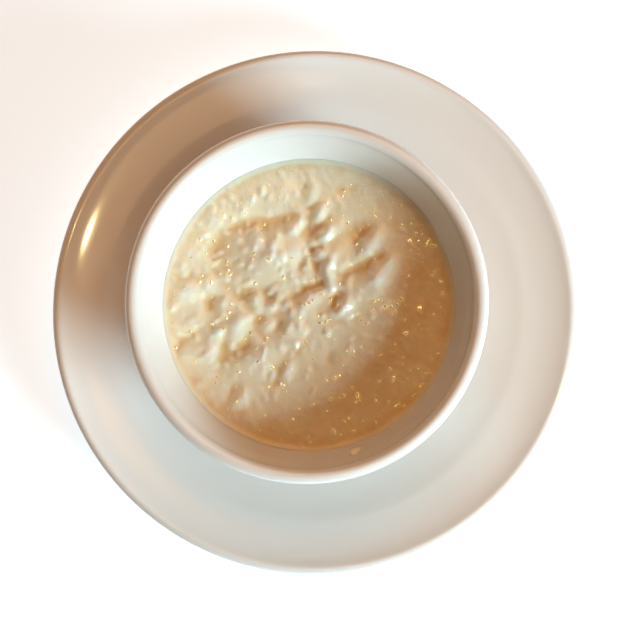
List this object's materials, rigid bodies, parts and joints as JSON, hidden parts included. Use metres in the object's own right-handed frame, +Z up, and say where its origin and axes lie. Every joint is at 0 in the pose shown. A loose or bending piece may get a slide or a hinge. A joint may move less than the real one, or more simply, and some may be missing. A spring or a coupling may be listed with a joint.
{
  "type": "bowl of rice pudding",
  "caption": "White china bowl filled with creamy rice pudding with a lumpy spooned surface, standing on its matching saucer.",
  "frame": {"origin": "middle of the saucer's foot ring, on the table", "axes": "+Z up through the bowl's opening; the saucer and the bowl are round about Z, and X and Y are free but for the pudding's lumps: the smooth part of its surface is towards +X and -Y"},
  "size_m": [0.168, 0.168, 0.0609],
  "materials": {
    "china": "white glazed hotel china, glossy",
    "pudding": "moist cream with rice grains, soft gloss"
  },
  "bodies": {
    "root": {"saucer": "china", "bowl": "china", "pudding": "pudding"}
  },
  "joints": []
}
